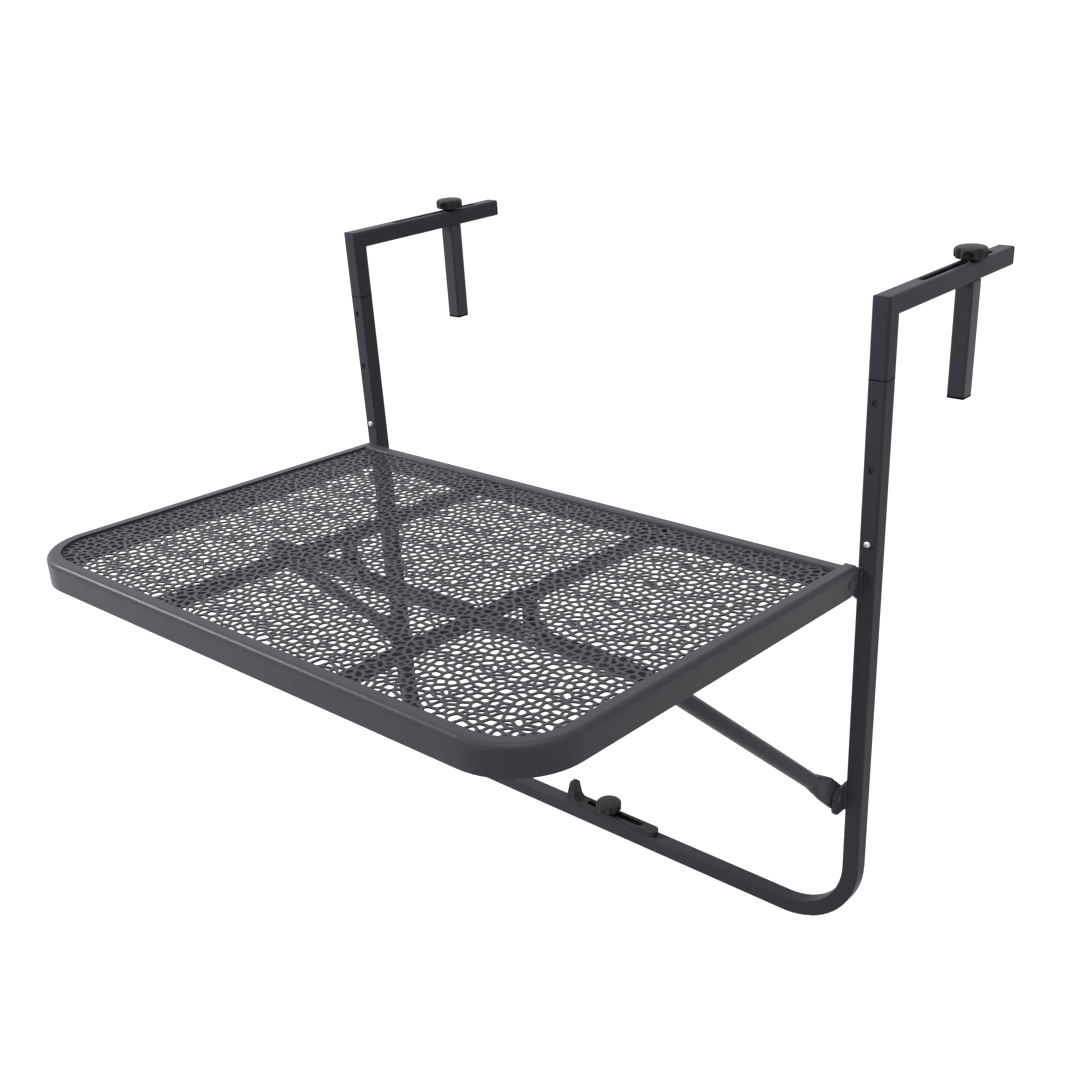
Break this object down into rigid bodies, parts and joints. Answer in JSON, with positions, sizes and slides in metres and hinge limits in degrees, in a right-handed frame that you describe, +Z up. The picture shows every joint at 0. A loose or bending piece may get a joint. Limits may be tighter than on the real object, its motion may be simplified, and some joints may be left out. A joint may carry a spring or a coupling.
{
  "type": "wall-mounted folding table",
  "caption": "Folding table with a pierced metal top that hangs from a railing or wall top by two adjustable hooks and folds down on a stay.",
  "frame": {"origin": "midway between the two hooks, on the level where their arms rest on the railing, in line with the posts' rear faces", "axes": "+X to the right as seen from the sitter, +Y back towards the railing, +Z up"},
  "size_m": [0.6314, 0.6311, 0.6192],
  "materials": {
    "coat": "satin powder coat",
    "steel": "bright zinc",
    "nylon": "satin",
    "plastic": "moulded, fine grain"
  },
  "bodies": {
    "frame": {"frame_tube": "coat", "hinge_lugs": "coat", "hinge_pins": "coat", "stay_lugs": "coat", "stay_pins": "coat", "foot_stud": "steel"},
    "table": {"table_rim": "coat", "rear_rail": "coat", "pierced_panel": "coat", "cross_bar_left": "coat", "cross_bar_right": "coat", "catch_brackets": "coat", "stay_clips": "nylon"},
    "stay": {"support_stay": "coat"},
    "hook_left": {"hook_left": "coat", "insert_left": "coat", "snap_spring_left": "steel", "arm_cap_left": "plastic"},
    "drop_left": {"drop_tube_left": "coat", "drop_cap_left": "plastic", "drop_stud_left": "steel"},
    "knob_left": {"knob_left": "plastic"},
    "hook_right": {"hook_right": "coat", "insert_right": "coat", "snap_spring_right": "steel", "arm_cap_right": "plastic"},
    "drop_right": {"drop_tube_right": "coat", "drop_cap_right": "plastic", "drop_stud_right": "steel"},
    "knob_right": {"knob_right": "plastic"},
    "foot_guide": {"foot_guide": "plastic"},
    "foot_plate": {"foot_plate": "plastic"},
    "foot_knob": {"foot_knob": "plastic"}
  },
  "joints": [
    {"name": "table_fold", "type": "hinge", "parent": "frame", "child": "table", "pos_m": [0, -0.0345, -0.2147], "axis": [1, 0, 0], "range_deg": [0, 88], "deforming": ["stay_clips"]},
    {"name": "stay_swing", "type": "hinge", "parent": "frame", "child": "stay", "pos_m": [0, -0.026, -0.43], "axis": [1, 0, 0], "range_deg": [0, 134.6]},
    {"name": "left_hook_height", "type": "slide", "parent": "frame", "child": "hook_left", "axis": [0, 0, 1], "range_m": [0, 0.118], "deforming": ["snap_spring_left"]},
    {"name": "left_drop_reach", "type": "slide", "parent": "hook_left", "child": "drop_left", "axis": [0, 1, 0], "range_m": [-0.081, 0.0355]},
    {"name": "left_knob_turn", "type": "hinge", "parent": "drop_left", "child": "knob_left", "pos_m": [-0.302, 0.13, 0.022], "axis": [0, 0, 1], "continuous": true},
    {"name": "right_hook_height", "type": "slide", "parent": "frame", "child": "hook_right", "axis": [0, 0, 1], "range_m": [0, 0.118], "deforming": ["snap_spring_right"]},
    {"name": "right_drop_reach", "type": "slide", "parent": "hook_right", "child": "drop_right", "axis": [0, 1, 0], "range_m": [-0.081, 0.0355]},
    {"name": "right_knob_turn", "type": "hinge", "parent": "drop_right", "child": "knob_right", "pos_m": [0.302, 0.13, 0.022], "axis": [0, 0, 1], "continuous": true},
    {"name": "foot_swivel", "type": "hinge", "parent": "frame", "child": "foot_guide", "pos_m": [0.0065, -0.008, -0.572], "axis": [0, 0, 1], "range_deg": [-180, 0]},
    {"name": "foot_slide", "type": "slide", "parent": "foot_guide", "child": "foot_plate", "axis": [1, 0, 0], "range_m": [-0.041, 0.026]},
    {"name": "foot_knob_turn", "type": "hinge", "parent": "frame", "child": "foot_knob", "pos_m": [0.0065, -0.008, -0.561], "axis": [0, 0, 1], "continuous": true}
  ],
  "couplings": [
    {"joint": "stay_swing", "follows": "table_fold", "ratio": 1.5284}
  ]
}
